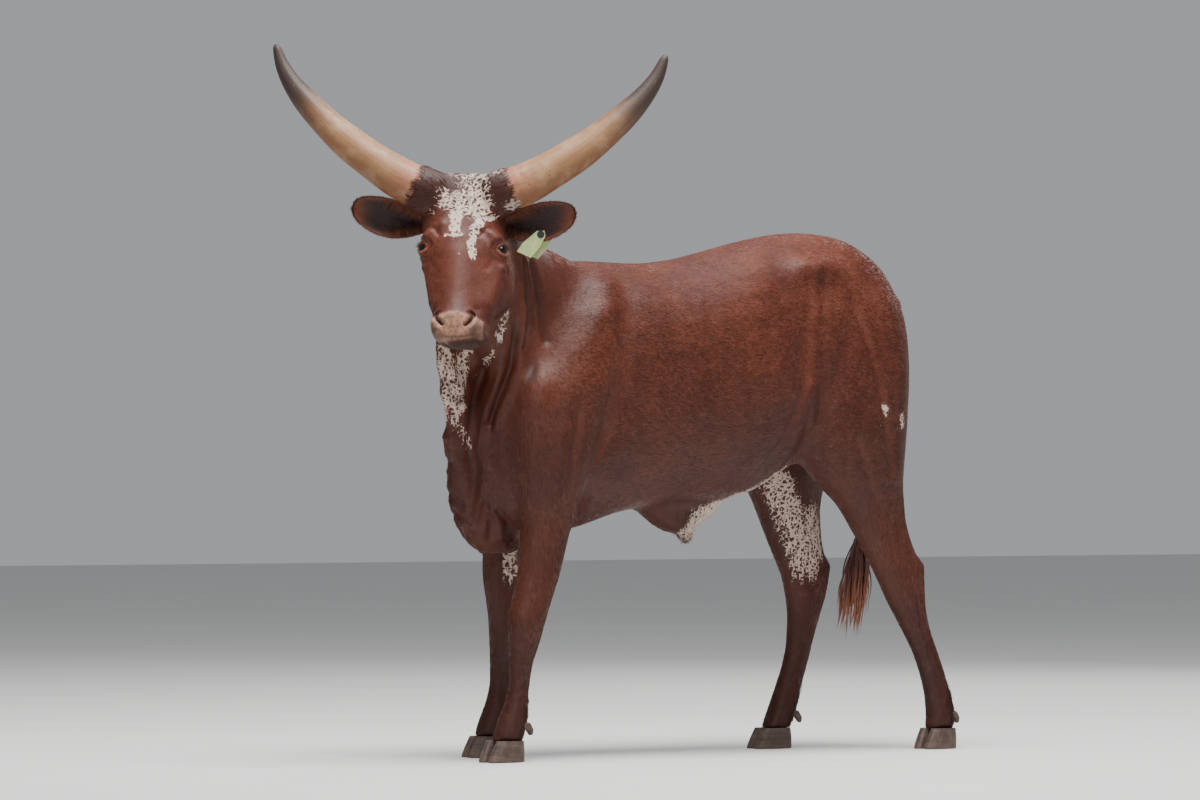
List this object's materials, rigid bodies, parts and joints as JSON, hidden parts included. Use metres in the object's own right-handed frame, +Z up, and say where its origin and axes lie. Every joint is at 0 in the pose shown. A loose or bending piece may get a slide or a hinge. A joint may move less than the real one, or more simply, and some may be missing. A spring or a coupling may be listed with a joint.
{
  "type": "ankole-watusi bull, standing, museum model",
  "caption": "Life-size still model of a young long-horned red-brown bull, standing with its head turned to its left, with upswept lyre horns, a dewlap and a pair of ear tag flaps.",
  "frame": {"origin": "centre of the bounding box at floor level, under the soles", "axes": "the trunk faces -Y, its left side is +X and +Z is up; the head is turned to its left, towards the picture's camera"},
  "size_m": [0.6442, 1.9556, 1.8692],
  "materials": {
    "coat": "short glossy red-brown hair with white roan patches on the forehead, throat and groin",
    "ear_skin": "short dark red-brown hair, cupped inside",
    "tail_hair": "coarse red-brown hair in locks",
    "horn": "cream and ochre horn with a pink base and a grey-brown tip, lightly grooved",
    "eye": "wet dark brown",
    "hoof_horn": "dull brown hoof horn with fine growth rings",
    "tag_plastic": "bare pale yellow-green flexible plastic, scuffed"
  },
  "bodies": {
    "root": {"torso": "coat", "neck": "coat", "head": "coat", "left_ear": "ear_skin", "right_ear": "ear_skin", "left_eye": "eye", "right_eye": "eye", "left_horn": "horn", "right_horn": "horn", "tail": "coat", "tail_switch": "tail_hair", "tag_front": "tag_plastic", "tag_back": "tag_plastic", "left_foreleg": "coat", "right_foreleg": "coat", "left_hindleg": "coat", "right_hindleg": "coat", "left_foreleg_left_claw": "hoof_horn", "left_foreleg_right_claw": "hoof_horn", "left_foreleg_dewleft_claw": "hoof_horn", "left_foreleg_dewright_claw": "hoof_horn", "right_foreleg_left_claw": "hoof_horn", "right_foreleg_right_claw": "hoof_horn", "right_foreleg_dewleft_claw": "hoof_horn", "right_foreleg_dewright_claw": "hoof_horn", "left_hindleg_left_claw": "hoof_horn", "left_hindleg_right_claw": "hoof_horn", "left_hindleg_dewleft_claw": "hoof_horn", "left_hindleg_dewright_claw": "hoof_horn", "right_hindleg_left_claw": "hoof_horn", "right_hindleg_right_claw": "hoof_horn", "right_hindleg_dewleft_claw": "hoof_horn", "right_hindleg_dewright_claw": "hoof_horn"}
  },
  "joints": []
}
